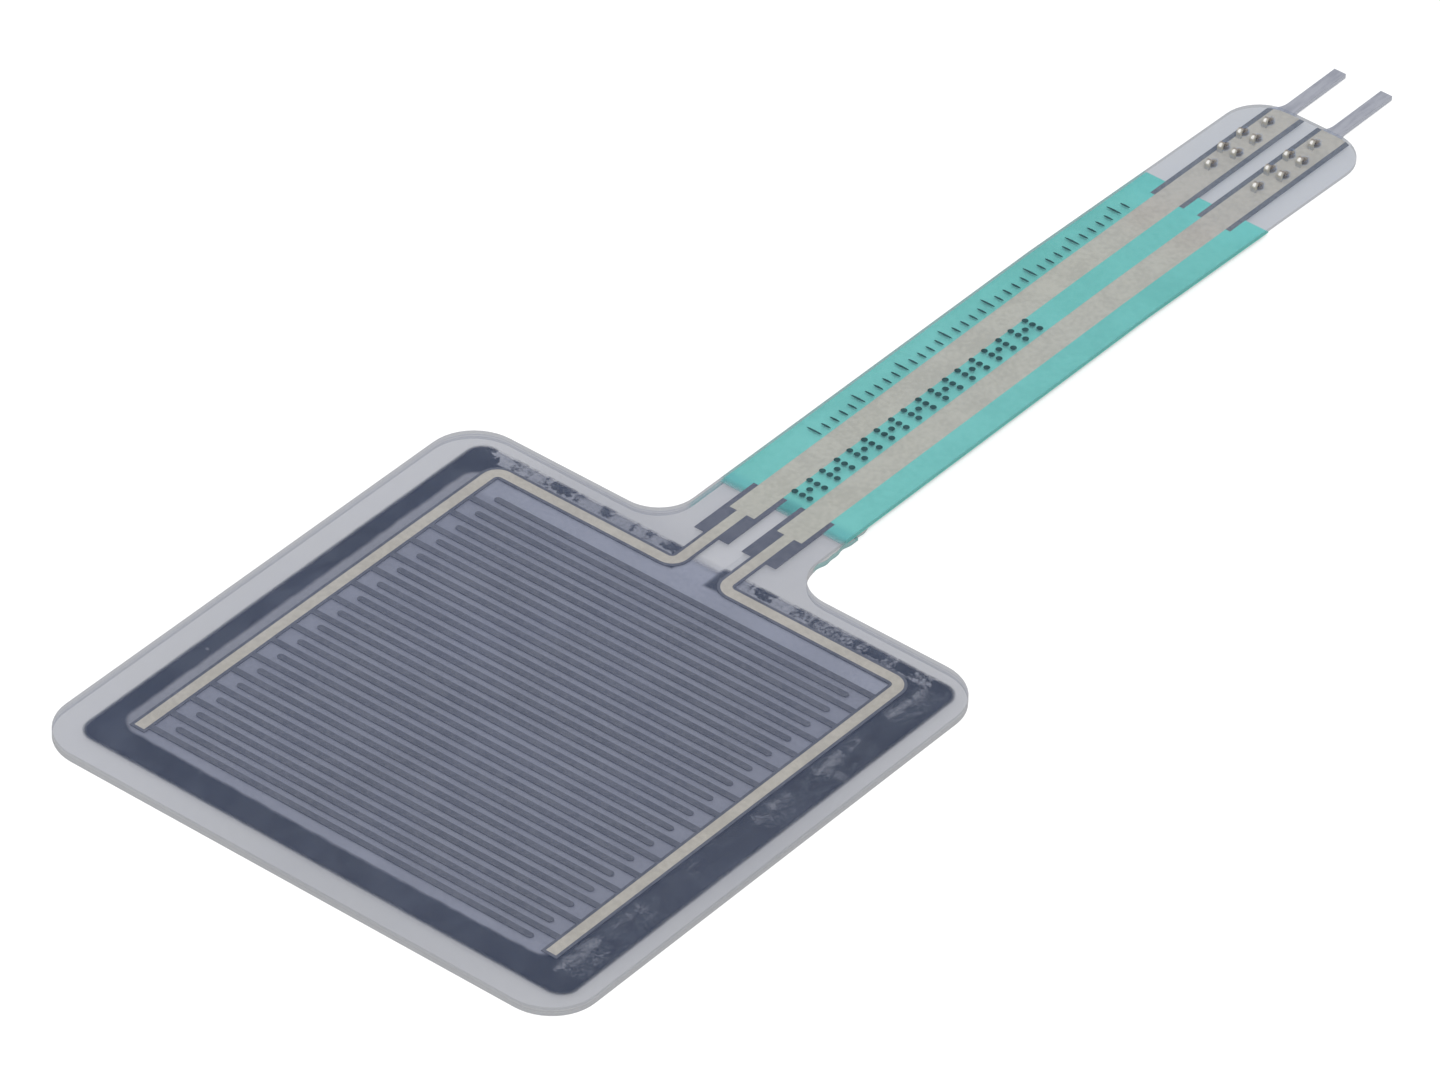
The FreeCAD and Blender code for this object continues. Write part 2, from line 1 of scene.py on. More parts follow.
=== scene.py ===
# %% [markdown]
# # A force sensing resistor, dressed for the camera
#
# The real part is a stack of thin sheets: a lower film with a square of resistive ink, a
# frame of clear adhesive, and an upper film that carries silver, carbon and teal prints on
# its underside. Two tinned terminals are crimped through the end of the tail. Everything
# is flat, so nearly all of its looks come from what shows through what. This script keeps
# the construction model's solids of the other prints and the terminals and gives each one
# its finish. The three clear sheets and the ink are made anew from copies of their solids,
# because light has to pass through the sheets, and the ink has spread a little.

# %% The frame
import json
import math

import bpy
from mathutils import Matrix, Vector

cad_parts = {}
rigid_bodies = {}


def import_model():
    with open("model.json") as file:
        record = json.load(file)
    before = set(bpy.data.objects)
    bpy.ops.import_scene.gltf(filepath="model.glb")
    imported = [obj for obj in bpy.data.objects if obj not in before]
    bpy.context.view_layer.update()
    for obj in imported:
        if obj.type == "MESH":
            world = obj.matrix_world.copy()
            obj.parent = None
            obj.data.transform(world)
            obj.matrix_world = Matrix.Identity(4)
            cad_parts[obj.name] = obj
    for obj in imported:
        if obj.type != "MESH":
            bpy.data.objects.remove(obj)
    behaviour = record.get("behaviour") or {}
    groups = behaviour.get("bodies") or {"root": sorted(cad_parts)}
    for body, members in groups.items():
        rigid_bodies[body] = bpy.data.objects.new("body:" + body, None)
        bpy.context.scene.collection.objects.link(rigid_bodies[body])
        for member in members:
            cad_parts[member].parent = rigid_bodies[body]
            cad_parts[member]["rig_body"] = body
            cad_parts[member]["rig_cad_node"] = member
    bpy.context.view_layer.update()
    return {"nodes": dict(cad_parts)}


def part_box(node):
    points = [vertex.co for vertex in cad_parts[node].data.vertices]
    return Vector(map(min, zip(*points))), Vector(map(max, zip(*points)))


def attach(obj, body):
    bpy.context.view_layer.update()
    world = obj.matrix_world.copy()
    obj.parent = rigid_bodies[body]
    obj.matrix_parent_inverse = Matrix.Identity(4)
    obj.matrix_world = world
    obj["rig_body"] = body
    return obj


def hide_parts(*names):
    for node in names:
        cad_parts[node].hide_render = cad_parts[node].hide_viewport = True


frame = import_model()
nodes = frame["nodes"]
MM = 0.001

# %% [markdown]
# ## Sizes that the looks follow
#
# A print can only line up with its sheet if both read the same numbers. Heights and edges
# are therefore measured on the solids. The few that can't be measured from a box, such as
# the opening in the adhesive, are named here in millimetres.

# %% Heights and edges in millimetres
def span(node):
    """Lowest and highest corner of a construction solid, in millimetres."""
    low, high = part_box(node)
    return low / MM, high / MM


film_high = span("upper_film")[1]
stub_high = span("lower_film")[1]
ink_low, ink_high = span("resistive_ink")
teal_low, teal_high = span("dielectric_print")

FILM_TOP = film_high.z
PLATE_TOP = span("left_pad_carbon")[0].z
INK_TOP = ink_high.z
HEAD_EDGE = film_high.x
TAIL_EDGE = -teal_low.x
LEAN_FROM = HEAD_EDGE + 25.0
FILM_LEAN = 0.36
WINDOW_CENTRE = (-0.30, 0.35)
WINDOW_HALF = 11.5
WINDOW_CORNER = 0.9
VENT_HALF = 0.86
print(f"film top {FILM_TOP:.2f}, head edge {HEAD_EDGE:.1f}, tail edge {TAIL_EDGE:.2f} mm")

# %% The ink's outline
# How far the ink spread past its solid: to the left and the back, and to the right and the front.
INK_OUT, INK_OUT_MORE = 0.10, 0.25
INK_DRIFT = (INK_OUT_MORE - INK_OUT) / 2
INK_CENTRE = ((ink_low.x + ink_high.x) / 2 + INK_DRIFT, (ink_low.y + ink_high.y) / 2 - INK_DRIFT)
INK_HALF = (ink_high.x - ink_low.x + INK_OUT + INK_OUT_MORE) / 2
INK_CORNER = 0.95
print(f"ink: {2 * INK_HALF:.2f} mm square around ({INK_CENTRE[0]:.2f}, {INK_CENTRE[1]:.2f})")

# %% [markdown]
# ## Shader sums written as Python
#
# A pattern such as "dark near the rim, with pale bubbles" is arithmetic on positions. Wired
# by hand that is dozens of Math nodes. The small class below wraps a socket, so that
# `1 - mask * 0.5` adds the nodes by itself. One more method makes every other kind of node:
# its settings come first, because some of them decide which sockets exist.

# %% A socket that can be added and multiplied
class Wire:
    """An output socket that takes part in sums."""

    def __init__(self, tree, socket):
        self.tree = tree
        self.socket = socket

    def make(self, kind, settings, inputs, output=0):
        """Adds one node and gives its chosen output."""
        node = self.tree.nodes.new("ShaderNode" + kind)
        for name, setting in settings.items():
            setattr(node, name, setting)
        for key, given in inputs.items():
            if isinstance(given, Wire):
                self.tree.links.new(given.socket, node.inputs[key])
            else:
                node.inputs[key].default_value = given
        return Wire(self.tree, node.outputs[output])

    def maths(self, operation, *values):
        return self.make("Math", {"operation": operation}, dict(enumerate(values)))

    def __add__(self, other):
        return self.maths("ADD", self, other)

    def __sub__(self, other):
        return self.maths("SUBTRACT", self, other)

    def __rsub__(self, other):
        return self.maths("SUBTRACT", other, self)

    def __mul__(self, other):
        return self.maths("MULTIPLY", self, other)

    def __abs__(self):
        return self.maths("ABSOLUTE", self)

    def most(self, other):
        return self.maths("MAXIMUM", self, other)

    def least(self, other):
        return self.maths("MINIMUM", self, other)

    def fade(self, start, end):
        """0 at start, 1 at end, with a soft shoulder at both; start may be the higher one."""
        limits = {"Value": self, "From Min": start, "From Max": end}
        return self.make("MapRange", {"interpolation_type": "SMOOTHSTEP"}, limits)

    def between(self, low, high, soft):
        """1 from low to high, fading out over soft at either side."""
        return self.fade(low - soft, low + soft) * self.fade(high + soft, high - soft)

    def blend(self, dark, pale):
        """A colour: dark where this is 0, pale where it is 1."""
        colours = {"Factor": self, "A": as_colour(dark), "B": as_colour(pale)}
        by_type = {"Factor": 0, "A": 6, "B": 7}
        sockets = {by_type[key]: given for key, given in colours.items()}
        return self.make("Mix", {"data_type": "RGBA"}, sockets, output=2)


def as_colour(given):
    """A colour socket needs four numbers; a Wire stays as it is."""
    return given if isinstance(given, Wire) else (*given, 1.0)


def toned(colour, share):
    """A colour made stronger or weaker, by one share or by one for each channel, up to 1."""
    shares = share if isinstance(share, tuple) else (share, share, share)
    return [min(1.0, channel * part) for channel, part in zip(colour, shares)]


# %% [markdown]
# ## Where on the part a shader is
#
# Object coordinates are in metres from the part's origin, and every piece has its object
# at that origin. So one pattern lines up over all of them. They are turned into
# millimetres first, and noise scales then read as grains per millimetre.

# %% Coordinates and noises
class Place:
    """Where a shader is on the part, in millimetres, and the noises that read it."""

    def __init__(self, tree):
        start = Wire(tree, None)
        metres = start.make("TexCoord", {}, {}, output="Object")
        self.at = start.make("VectorMath", {"operation": "SCALE"}, {0: metres, "Scale": 1 / MM})
        self.x, self.y, self.z = (self.at.make("SeparateXYZ", {}, {0: self.at}, output=axis)
                                  for axis in "XYZ")

    def noise(self, grains, detail=2.0, stretch=(1, 1, 1), swirl=0.0):
        """A soft noise around 0.5, with so many grains per millimetre."""
        scaled = self.at.make("VectorMath", {"operation": "MULTIPLY"}, {0: self.at, 1: stretch})
        inputs = {"Vector": scaled, "Scale": grains, "Detail": detail, "Distortion": swirl}
        return self.at.make("TexNoise", {}, inputs)

    def spots(self, grains):
        """Distance to the nearest of many scattered points, in grains."""
        return self.at.make("TexVoronoi", {}, {"Vector": self.at, "Scale": grains}, output="Distance")

    def beyond_box(self, centre, half, corner, sag=0.0):
        """How far a point is outside a rounded square, in millimetres; negative inside.

        A sag draws in the ends of its front and back sides, so that they bow out.
        """
        across = abs(self.x - centre[0]) - (half - corner)
        along = abs(self.y - centre[1]) + self.x * self.x * sag - (half - corner)
        outside = across.most(0.0) * across.most(0.0) + along.most(0.0) * along.most(0.0)
        return outside.maths("SQRT", outside) + across.most(along).least(0.0) - corner


def new_material(name, **constants):
    """A Principled material, the place its patterns read, and its shader node."""
    material = bpy.data.materials.new(name)
    material.use_nodes = True
    shader = material.node_tree.nodes["Principled BSDF"]
    for socket, number in constants.items():
        shader.inputs[socket.replace("_", " ")].default_value = number
    return material, Place(material.node_tree), shader


def feed(shader, **wires):
    """Links what changes over the surface to the shader's own sockets."""
    for socket, wire in wires.items():
        wire.tree.links.new(wire.socket, shader.inputs[socket.replace("_", " ")])


def bump(height, depth_mm, strength=1.0):
    """A surface grain: height from 0 to 1 stands for so many millimetres."""
    return height.make("Bump", {}, {"Height": height, "Distance": depth_mm * MM, "Strength": strength})


# %% [markdown]
# ## Satin film
#
# The upper film is clear plastic with a satin skin. It takes a little light away from
# what lies beneath and lays a bluish veil over it. A refracting glass would need far more
# light paths and export badly, so the film is a thin haze: each of its two faces is mostly
# open, with a low alpha. A fine grain keeps its sheen soft, and slow clouds in the haze
# stop large plain areas from looking printed.

# %% Where the teeth come through
# Each terminal has one tooth in its first and last row and two in the rows between.
FIRST_ROW, ROW_PITCH, ROWS = 49.38, 1.4, 4
PIN_HALF_PITCH, TOOTH_HALF_SPACING = 1.27, 0.36
ROW_LEAD, ROW_SOFT = 0.65, 0.05
# The film is darker brown in a blot behind each tooth: how far behind it sits, and how fast it fades across
# and along.
BLOT_BEHIND = 0.28
BLOT_ACROSS, BLOT_ALONG = 22.0, 13.0


def from_tooth(place):
    """How far a point lies beside and beyond the nearest tooth, in millimetres."""
    middle_rows = place.y.between(FIRST_ROW + ROW_PITCH / 2, FIRST_ROW + ROW_PITCH * (ROWS - 1.5), ROW_SOFT)
    beside = abs(abs(abs(place.x) - PIN_HALF_PITCH) - middle_rows * TOOTH_HALF_SPACING)
    from_first = place.y - FIRST_ROW
    beyond = from_first.maths("WRAP", from_first, ROW_PITCH / 2, -ROW_PITCH / 2)
    return beside, beyond


def dark_blot_behind_tooth(place):
    """1 where the film is darker brown behind a tooth, 0 elsewhere."""
    ragged = place.noise(5.0, detail=4.0) + 0.5
    beside, beyond = from_tooth(place)
    behind = beyond - BLOT_BEHIND
    spread = beside * beside * BLOT_ACROSS + behind * behind * BLOT_ALONG
    rows = place.y.between(FIRST_ROW - ROW_LEAD, FIRST_ROW + ROW_PITCH * (ROWS - 0.5), ROW_SOFT)
    return (spread * ragged).fade(1.2, 0.2) * rows


# %% Film faces
# The veil turns bluer towards the tail's end: from and to, and each channel's share there.
BLUE_END = (44.0, 47.0)
BLUER = (1.0, 1.35, 1.4)
BLOT_COLOUR = (0.070, 0.052, 0.045)


def satin_film(name, haze, tint, blot_share=0.0, uneven=None):
    """Clear plastic as a thin haze, with a painted sheen that fades towards the right front, and darker
    brown behind the teeth.
    """
    material, place, shader = new_material(name, IOR=1.55, Specular_IOR_Level=0.7)
    clouds = place.noise(0.22, detail=3.0)
    grain = place.noise(9.0, detail=3.0)
    # Painted sheen: the veil is paler to the left and back, and this falloff takes it away towards the
    # right front.
    painted_sheen_falloff = (place.x - place.y * 0.6).fade(-22.0, 22.0)
    paleness_and_painted_sheen = (clouds * 0.5 + painted_sheen_falloff * -0.6 + 0.55).fade(0.0, 1.0)
    plain = paleness_and_painted_sheen.blend(toned(tint, 0.88), toned(tint, 1.12))
    veil = place.y.fade(*BLUE_END).blend(plain, toned(tint, BLUER))
    blot = dark_blot_behind_tooth(place) * blot_share
    if uneven:
        haze = uneven(place) * haze
    feed(shader, Base_Color=blot.blend(veil, BLOT_COLOUR),
         Alpha=(clouds * 0.3 + grain * 0.1 + 0.8) * haze + blot * 0.5,
         Roughness=grain * 0.16 + 0.26, Normal=bump(grain, 0.004, 0.4))
    return material


# %% The die-cut edge
FILM_EDGE = (0.21, 0.235, 0.285)
TEAL_GLOW = (0.13, 0.42, 0.41)
# The stub's edges pick up teal from here on, and a little less of it than the upper film's.
STUB_TEAL = {"teal_from": 15.6, "teal_share": 0.85}


def cut_edge(name, tint, solidity, teal_from, teal_share):
    """The frosted edge that a steel rule die leaves, teal where the print shines through it."""
    material, place, shader = new_material(name, Roughness=0.5)
    begun = place.y.fade(teal_from - 0.1, teal_from + 0.3)
    teal_side = begun * place.y.fade(teal_high.y, teal_high.y - 0.2) * teal_share
    shear_lines = place.noise(3.0, detail=3.0, stretch=(1, 1, 9))
    plain = shear_lines.fade(0.3, 0.7).blend(toned(tint, 0.85), tint)
    feed(shader, Base_Color=teal_side.blend(plain, TEAL_GLOW),
         Alpha=shear_lines * (0.3 * solidity) + teal_side * 0.35 + 0.85 * solidity,
         Normal=bump(shear_lines, 0.008, 0.5))
    return material


upper_face = satin_film("satin film", 0.055, (0.33, 0.41, 0.73), blot_share=1.0)
lower_face = satin_film("clear film", 0.030, (0.42, 0.44, 0.50))
upper_edge = cut_edge("upper film edge", FILM_EDGE, 0.25, teal_from=teal_low.y, teal_share=1.0)
lower_edge = cut_edge("lower film edge", FILM_EDGE, 0.34, **STUB_TEAL)
print("film materials:", upper_face.name, lower_face.name, upper_edge.name, lower_edge.name)

# %% [markdown]
# ## Adhesive
#
# The spacer is a clear adhesive tape. Between two films it almost vanishes, so its faces
# are nearly open. Their haze is made a little denser to the right, beside the middle of
# each side and in one patch in the back margin, left of the neck: that is painted shade.
# Its cut edge shows as a slightly darker line between the films.

# %% Adhesive faces and edge
# The middle of a patch of painted shade in the back margin, left of the neck.
SHADE_PATCH = (-6.0, 13.0)


def haze_with_painted_shade(place):
    """The adhesive's haze, denser as painted shade to the right, beside the middle of each side and in one
    patch.
    """
    to_corner = abs(place.x).least(abs(place.y)) * (1 / HEAD_EDGE)
    across, along = place.x - SHADE_PATCH[0], place.y - SHADE_PATCH[1]
    shade_patch = (across * across * 0.03 + along * along * 0.2).fade(1.0, 0.0) * 0.45
    painted_shade_slope = place.x * 0.024 - place.y * 0.010 + 0.60
    return (1 - to_corner * 0.75) * painted_shade_slope + shade_patch


adhesive_face = satin_film("clear adhesive", 0.10, (0.06, 0.07, 0.10), uneven=haze_with_painted_shade)
adhesive_edge = cut_edge("adhesive edge", (0.18, 0.20, 0.245), 0.31, **STUB_TEAL)
print("adhesive materials:", adhesive_face.name, adhesive_edge.name)

# %% [markdown]
# ## Resistive ink, dry and wetted
#
# The ink is one plain dark square on the lower film. Where the adhesive touches it, it
# looks wet and nearly black, and over the window there is air above it, so it is a dusty
# grey. The dark frame in the photograph is therefore a change of look and no separate
# part. The adhesive didn't wet it all over either: pale bubbles run along the band beside
# the right bus, and the two strips above the upper buses are more bubble than wet.

# %% The wet band's bubbles
# The upper strips begin just behind the upper buses, and their blots a little further on.
STRIP_START, BLOTS_START = (12.45, 12.60), (12.60, 12.74)
# The right strip lies beside the bus, and one tongue and the veins reach further out: x, then y.
BESIDE_BUS = (11.42, 12.10)
TONGUE_X, TONGUE_Y = (11.7, 12.9), (5.5, 5.9)
VEINS_X, VEINS_Y = (11.4, 12.8), (-11.3, 12.6)

# Stretches of the strips where the adhesive stayed off the ink: from, to, how much.
UPPER_STRIP = ((-11.5, -1.9, 0.95), (1.4, 5.1, 0.95), (5.1, 8.9, 0.45), (8.9, 11.9, 0.40))
RIGHT_STRIP = ((10.0, 12.6, 0.75), (7.3, 8.3, 0.5), (5.0, 6.9, 1.0), (4.1, 4.9, 0.5), (1.1, 3.5, 0.7),
               (-3.5, -1.9, 0.3), (-8.8, -5.8, 0.55), (-11.2, -8.8, 1.0))
# Blots in the upper strips that are wet all the same: from, to, how much.
WET_BLOTS = ((-10.7, -10.1, 0.6), (-9.8, -9.5, 0.5), (-9.05, -8.8, 0.8), (-8.6, -7.5, 1.0),
             (-7.3, -6.9, 0.7), (-6.0, -5.3, 1.0), (-4.25, -3.95, 0.8), (-3.5, -3.1, 0.7),
             (-2.5, -1.9, 0.9), (2.0, 2.2, 0.6), (2.4, 3.35, 1.0), (4.4, 5.0, 0.7),
             (7.6, 7.9, 0.6), (8.3, 9.2, 0.7), (9.9, 10.7, 0.8))


def stretches(along, table):
    """The share of dry ink along a strip, from a table of stretches."""
    total = along * 0.0
    for low, high, share in table:
        total = total + along.between(low, high, 0.12) * share
    return total


def bubble_share(place):
    """How much of the ink stays dry under the adhesive, from 0 to 1, by the place."""
    ragged = place.noise(2.4, detail=4.0) - 0.5
    speckle = place.noise(5.5, detail=4.0, swirl=0.5) - 0.5
    strip_top = (place.y + ragged * 0.5).fade(*BLOTS_START)
    blots = stretches(place.x + ragged * 0.9, WET_BLOTS) * strip_top
    slant = place.y * 0.6 - 7.7
    dry_share = stretches(place.x + ragged * 1.8 + slant, UPPER_STRIP) - blots * 0.8
    upper = (dry_share + speckle * 1.9).fade(0.12, 0.85) * place.y.fade(*STRIP_START)

    streaks = place.noise(1.6, detail=6.0, stretch=(1.5, 0.9, 1), swirl=0.6) - 0.5
    beside_bus = place.x.between(*BESIDE_BUS, 0.34)
    dry_share = stretches(place.y + ragged * 1.2, RIGHT_STRIP) * beside_bus
    right = (dry_share * 0.42 + streaks * 1.3 + speckle * 0.5).fade(0.12, 0.50) * beside_bus
    tongue = (place.y + ragged * 0.4).between(*TONGUE_Y, 0.2) * place.x.between(*TONGUE_X, 0.3)
    right = right.most(tongue * (streaks * 2.0 + 0.6))
    veins = abs(place.noise(2.2, detail=3.0, swirl=1.4) - 0.5).fade(0.030, 0.0)
    reach = place.x.between(*VEINS_X, 0.3) * place.y.between(*VEINS_Y, 0.4)
    lines = veins * stretches(place.y, RIGHT_STRIP) * reach
    specks = place.spots(0.55).fade(0.07, 0.03) * place.noise(0.5).fade(0.5, 0.7)
    return upper.most(right * 0.6).most(lines * 0.5).most(specks * 0.5)


# %% The ink itself
# What lies under the film has no bright gloss of its own: the film on top takes that away.
UNDER_FILM = 0.12
# Where the fingers end at the back and at the front, and the ink lies in the open, out of the painted shade
# under the fingers.
BACK_FINGER, FRONT_FINGER = (10.35, 10.75), (-10.3, -10.6)
# Under the left bus the dry ink's tone changes from that of its outer strip, darker with painted shade
# beside the bus, to the combs' own.
LEFT_BUS = (-11.3, -10.6)
# Up the vent the dry ink is first painted paler, as painted light, and then thins out.
VENT_PAINTED_LIGHT, VENT_THIN = (11.4, 12.2), (12.55, 13.15)
WET_CORNER, WET_CORNER_HALF = (11.3, -11.2), 0.5


def resistive_ink():
    """Dusty grey in the window and the vent, with painted shade under the fingers and beside the left bus
    and painted light up the vent; nearly black with pale bubbles under the adhesive.
    """
    material, place, shader = new_material("resistive ink", Specular_IOR_Level=UNDER_FILM)
    wobble = place.noise(1.3, detail=3.0) * 0.16 - 0.08
    from_window = place.beyond_box(WINDOW_CENTRE, WINDOW_HALF, WINDOW_CORNER, sag=0.001)
    window = (from_window + wobble).fade(0.12, -0.14)
    vent = (abs(place.x - WINDOW_CENTRE[0]) + wobble).fade(VENT_HALF + 0.14, VENT_HALF - 0.14)
    vent = vent * place.y.fade(WINDOW_HALF - 1, WINDOW_HALF)
    face_up = place.z.fade(INK_TOP - 0.006, INK_TOP - 0.002)
    wet_corner = place.beyond_box(WET_CORNER, WET_CORNER_HALF, WET_CORNER_HALF).fade(0.35, -0.1)
    dry = window.most(vent) * face_up * (1 - wet_corner)
    grain = place.noise(5.0, detail=5.0)
    slow = place.noise(0.35, detail=2.0)
    under_combs = place.x.fade(*LEFT_BUS)
    mottle = (grain * 0.5 + slow * 0.5).fade(0.3, 0.7)
    # Painted shade: the dry ink is darker beside the left bus and under the fingers, and paler past the
    # fingers and up the vent, as painted light.
    shaded_left_strip = mottle.blend((0.205, 0.212, 0.235), (0.250, 0.257, 0.280))
    past_finger_shade = place.y.fade(*BACK_FINGER) * 0.65 + place.y.fade(*FRONT_FINGER) * 0.25
    out_of_painted_shade = past_finger_shade + vent * place.y.fade(*VENT_PAINTED_LIGHT) * 0.35
    inside = mottle.blend(out_of_painted_shade.blend((0.190, 0.200, 0.239), (0.270, 0.285, 0.336)),
                          out_of_painted_shade.blend((0.233, 0.245, 0.290), (0.330, 0.347, 0.407)))
    dusty_and_shaded = under_combs.blend(shaded_left_strip, inside)
    smears = place.noise(0.8, detail=5.0, stretch=(1.0, 0.6, 1), swirl=0.8)
    wet = (smears * 0.8 + grain * 0.2).fade(0.38, 0.66).blend((0.003, 0.008, 0.013), (0.027, 0.034, 0.044))
    pale = grain.fade(0.3, 0.7).blend((0.23, 0.24, 0.27), (0.33, 0.34, 0.37))
    bubbles = bubble_share(place)
    banded = (bubbles * face_up).blend(wet, pale)
    rim = place.beyond_box(INK_CENTRE, INK_HALF, INK_CORNER) + wobble * 0.25
    frayed = rim.fade(0.0, -0.30) * (1 - rim.fade(-0.32, -0.10) * bubbles * 0.8)
    frayed = frayed * (1 - vent * place.y.fade(*VENT_THIN) * 0.9)
    feed(shader, Base_Color=dry.blend(banded, dusty_and_shaded), Roughness=dry * 0.35 + 0.35, Alpha=frayed,
         Normal=bump(grain * dry, 0.006, 0.3))
    return material


ink_look = resistive_ink()
print("resistive ink: dry in the window, wet under the adhesive")

# %% [markdown]
# ## Silver and carbon prints
#
# Screen-printed silver is a paste of flakes. Through a satin film it is no mirror but a
# warm, chalky beige with a fine mottle. Carbon paste is a soft black that also shows as
# grey here. Both keep the faint unevenness of the screen's mesh in their colour.

# %% Silver and carbon
# Over the head's ink and at the clear end of the tail the pastes look a little different.
TOWARDS_HEAD, TOWARDS_END = (19.0, 12.0), (42.0, 46.0)


def printed_paste(name, dark, pale, grains, roughness, at_head=(1, 1, 1), at_end=(1, 1, 1)):
    """A matt paste with a fine mottle, toned along its way from the head to the tail's end."""
    material, place, shader = new_material(name, Specular_IOR_Level=UNDER_FILM)
    mottle = place.noise(grains, detail=4.0)
    slow = place.noise(0.6, detail=2.0)
    uneven = (mottle * 0.6 + slow * 0.4).fade(0.36, 0.64)
    plain, head, end = (uneven.blend(toned(dark, share), toned(pale, share))
                        for share in ((1, 1, 1), at_head, at_end))
    near_head = place.y.fade(*TOWARDS_HEAD).blend(plain, head)
    colour = place.y.fade(*TOWARDS_END).blend(near_head, end)
    feed(shader, Base_Color=colour, Roughness=mottle * 0.2 + roughness, Normal=bump(mottle, 0.003, 0.4))
    return material


silver_look = printed_paste("silver paste", (0.435, 0.43, 0.35), (0.51, 0.505, 0.415), 4.5, 0.45,
                            at_head=(0.985, 0.93, 0.95), at_end=(0.985, 0.92, 0.925))
carbon_look = printed_paste("carbon paste", (0.080, 0.086, 0.100), (0.116, 0.123, 0.140), 5.0, 0.6,
                            at_end=(1.45, 1.35, 1.15))
print("printed pastes:", silver_look.name, carbon_look.name)

# %% [markdown]
# ## Teal insulating print
#
# The insulating print runs along the tail in one flood of teal, a touch deeper towards
# the tail's end. Over its first stretch the adhesive and the lower film still lie behind
# it, and there it is darker, most of all in the lane between the two traces.

# %% Teal print
FAR_TEAL = (29.0, 40.0)
LANE_MIDDLE = -0.05


def teal_print():
    """One teal flood that starts with a soft edge and is darker where the stub lies behind it."""
    material, place, shader = new_material("teal insulating print", Roughness=0.45,
                                           Specular_IOR_Level=UNDER_FILM)
    mottle = place.noise(3.0, detail=4.0)
    slow = place.noise(0.3, detail=2.0)
    uneven = (mottle * 0.4 + slow * 0.6).fade(0.35, 0.65)
    near = uneven.blend((0.145, 0.52, 0.455), (0.175, 0.583, 0.514))
    far = uneven.blend((0.128, 0.50, 0.435), (0.155, 0.56, 0.49))
    flood = place.y.fade(*FAR_TEAL).blend(near, far)
    backed = place.y.fade(stub_high.y + 0.25, stub_high.y - 0.35)
    lane = backed * abs(place.x - LANE_MIDDLE).fade(0.62, 0.3)
    darker = backed.blend(flood, (0.12, 0.47, 0.44))
    feathered = (place.y + mottle * 0.1).fade(teal_low.y - 0.05, teal_low.y + 0.55) * 0.8 + 0.2
    feed(shader, Base_Color=lane.blend(darker, (0.062, 0.32, 0.29)), Alpha=feathered,
         Normal=bump(mottle, 0.003, 0.4))
    return material


teal_look = teal_print()
print("teal print: darker up to", round(stub_high.y, 2), "mm, where the stub ends")

# %% [markdown]
# ## Tinned terminals
#
# The terminals are stamped from thin tinned strip. The pins are a dull lilac grey with
# lengthwise drawing lines. The teeth, bent hard over the film, carry painted light: each
# has a painted highlight, a small bright spot on the side that faces the head, and painted
# shade, a dull brown, beyond it. They stand in evenly spaced rows, so height and the
# distance to a row tell where they are.

# %% Tinned metal
# The painted highlight sits this far before a tooth's middle, on the side of the head.
HIGHLIGHT_BEFORE = 0.17
HIGHLIGHT_COLOUR = (0.86, 0.85, 0.84)


def tinned_metal():
    """Lilac grey tin with drawing lines, pale on sheared walls, with a painted highlight and painted shade
    on the teeth.
    """
    material, place, shader = new_material("tinned terminal")
    drawn = place.noise(6.0, detail=3.0, stretch=(1.0, 0.12, 1.0))
    clouds = place.noise(1.1, detail=3.0)
    mottle = (drawn * 0.6 + clouds * 0.4).fade(0.35, 0.65)
    sheared = place.z.fade(PLATE_TOP - 0.006, PLATE_TOP - 0.016)
    plain = sheared.blend(mottle.blend((0.31, 0.325, 0.38), (0.40, 0.415, 0.47)), (0.56, 0.58, 0.64))

    tooth = place.z.fade(PLATE_TOP + 0.01, PLATE_TOP + 0.04)
    beside, beyond = from_tooth(place)
    facing = beyond + HIGHLIGHT_BEFORE
    # Painted highlight: a bright spot on the tooth's side that faces the head; beyond the middle, painted
    # shade.
    painted_highlight = (beside * beside * 130.0 + facing * facing * 30.0 + clouds * 0.8 - 0.4).fade(0.95, 0.25)
    painted_highlight = painted_highlight * place.z.fade(FILM_TOP + 0.08, FILM_TOP + 0.16)
    flank_with_painted_shade = beyond.fade(-0.10, 0.04).blend((0.42, 0.405, 0.36), (0.23, 0.20, 0.18))
    tooth_painted_light = painted_highlight.blend(flank_with_painted_shade, HIGHLIGHT_COLOUR)
    feed(shader, Base_Color=tooth.blend(plain, tooth_painted_light), Metallic=1 - tooth * (0.85 - painted_highlight * 0.65),
         Roughness=0.42 - painted_highlight * 0.2 + drawn * 0.1, Normal=bump(drawn, 0.006, 0.5))
    return material


terminal_look = tinned_metal()

# %% [markdown]
# ## Finishes go onto the solids
#
# The silver, the carbon, the teal print and the terminals keep their own construction
# meshes: their shape is right, and only the material in the slot changes.

# %% Dress the construction solids
LOOKS = {"dielectric_print": teal_look}
for side in ("left", "right"):
    LOOKS[f"{side}_silver_trace"] = silver_look
    LOOKS[f"{side}_carbon_comb"] = carbon_look
    LOOKS[f"{side}_pad_carbon"] = carbon_look
    LOOKS[f"{side}_terminal"] = terminal_look

for name, look in LOOKS.items():
    nodes[name].material_slots[0].material = look
print("dressed:", ", ".join(sorted(LOOKS)))

# %% [markdown]
# ## Selecting in code
#
# Edit-mode operators act on whatever is selected, and loading leaves a lot selected. So
# each step starts from nothing, and then picks faces, edges or points by where they are.

